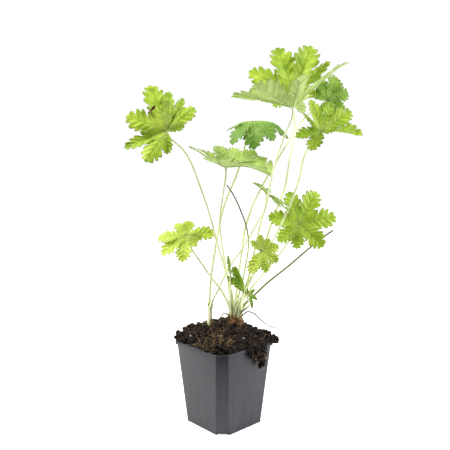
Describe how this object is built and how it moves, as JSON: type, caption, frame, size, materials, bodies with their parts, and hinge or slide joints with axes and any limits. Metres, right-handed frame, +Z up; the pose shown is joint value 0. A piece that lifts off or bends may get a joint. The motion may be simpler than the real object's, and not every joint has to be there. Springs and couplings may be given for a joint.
{
  "type": "hardy geranium in a nursery pot",
  "caption": "Young hardy geranium with lobed leaves on long stalks, growing from a crown in a square plastic nursery pot filled with peat.",
  "frame": {"origin": "centre of the pot's underside, on the surface it stands on", "axes": "+Z up; -Y towards the viewer, with one corner of the square pot pointing that way"},
  "size_m": [0.2693, 0.1804, 0.4467],
  "materials": {
    "pot_plastic": "thermoformed dark grey plastic, satin",
    "peat": "moist fibrous peat, matt",
    "rootstock_bark": "fibrous brown rootstock, matt",
    "root_skin": "pale root skin, matt",
    "stalk_green": "fresh pale green leaf stalk, satin",
    "leaf_green": "fresh soft green leaf, satin, thin and translucent"
  },
  "bodies": {
    "root": {"nursery_pot": "pot_plastic", "potting_soil": "peat", "hanging_clod": "peat", "crown": "rootstock_bark", "side_shoot": "rootstock_bark", "root_right": "root_skin", "root_left": "root_skin", "stalk_01": "stalk_green", "stalk_02": "stalk_green", "stalk_03": "stalk_green", "stalk_04": "stalk_green", "stalk_05": "stalk_green", "stalk_06": "stalk_green", "stalk_07": "stalk_green", "stalk_08": "stalk_green", "stalk_09": "stalk_green", "stalk_10": "stalk_green", "stalk_11": "stalk_green", "stalk_12": "stalk_green", "stalk_13": "stalk_green", "stalk_14": "stalk_green", "bare_stalk_right": "stalk_green", "bare_stalk_dark": "stalk_green", "leaf_01": "leaf_green", "leaf_02": "leaf_green", "leaf_03": "leaf_green", "leaf_04": "leaf_green", "leaf_05": "leaf_green", "leaf_06": "leaf_green", "leaf_07": "leaf_green", "leaf_08": "leaf_green", "leaf_09": "leaf_green", "leaf_10": "leaf_green", "leaf_11": "leaf_green", "leaf_12": "leaf_green", "leaf_13": "leaf_green", "leaf_14": "leaf_green"}
  },
  "joints": []
}
